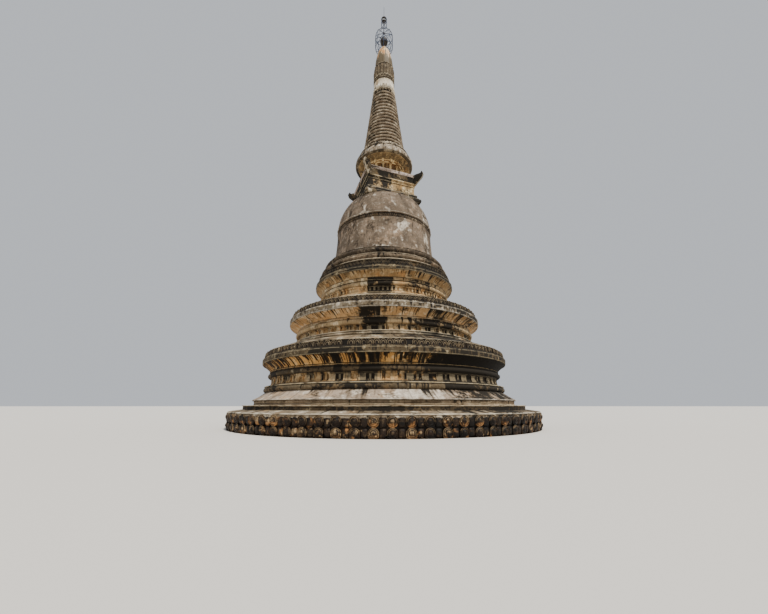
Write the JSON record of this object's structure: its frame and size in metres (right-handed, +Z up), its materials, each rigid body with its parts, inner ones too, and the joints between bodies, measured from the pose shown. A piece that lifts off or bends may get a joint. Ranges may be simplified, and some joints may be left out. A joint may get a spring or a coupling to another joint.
{
  "type": "stupa",
  "caption": "Round brick stupa with a lotus plinth, moulded ring tiers, a bell, a square throne, a ringed spire and a wire umbrella at the top.",
  "frame": {"origin": "centre of the plinth's foot at ground level", "axes": "+Z up along the spire, sides of the square throne along X and Y"},
  "size_m": [23.9554, 23.9554, 38.3982],
  "materials": {
    "dark_stucco": "weathered, mould-black",
    "ochre_stucco": "weathered, streaked",
    "lime_stucco": "weathered limewash",
    "grey_plaster": "weathered render",
    "gilding": "faded gilt stucco",
    "iron": "weathered paint",
    "glass": "clear, dusty"
  },
  "bodies": {
    "root": {"plinth_lower_lotus_course": "dark_stucco", "plinth_upper_lotus_course": "dark_stucco", "plinth_coping": "lime_stucco", "base_step": "dark_stucco", "base_riser": "dark_stucco", "sloping_skirt": "lime_stucco", "tier1_foot_roll": "grey_plaster", "tier1_frieze": "ochre_stucco", "tier1_upper_roll": "lime_stucco", "tier1_cove": "ochre_stucco", "tier1_fascia": "lime_stucco", "tier1_lotus_row": "dark_stucco", "tier1_roof": "lime_stucco", "tier2_foot_roll": "grey_plaster", "tier2_frieze": "ochre_stucco", "tier2_upper_roll": "lime_stucco", "tier2_cove": "ochre_stucco", "tier2_fascia": "lime_stucco", "tier2_lotus_row": "dark_stucco", "tier2_roof": "lime_stucco", "tier3_frieze": "ochre_stucco", "tier3_upper_roll": "lime_stucco", "tier3_cove": "ochre_stucco", "tier3_rim": "dark_stucco", "tier3_lotus_row": "dark_stucco", "bell_lower_roll": "dark_stucco", "bell_upper_roll": "dark_stucco", "bell_drum": "grey_plaster", "bell_belt": "dark_stucco", "bell_dome": "grey_plaster", "throne_base": "grey_plaster", "throne_body": "lime_stucco", "throne_cornice": "grey_plaster", "colonnade": "ochre_stucco", "ring_beam": "ochre_stucco", "hood": "lime_stucco", "spire_rings": "grey_plaster", "crown_pendant_lotus": "dark_stucco", "crown_waist": "lime_stucco", "crown_upper_lotus": "dark_stucco", "bud": "gilding", "finial_mast": "iron", "finial_ball": "glass", "lightning_rod": "iron", "umbrella_cage": "iron"}
  },
  "joints": []
}
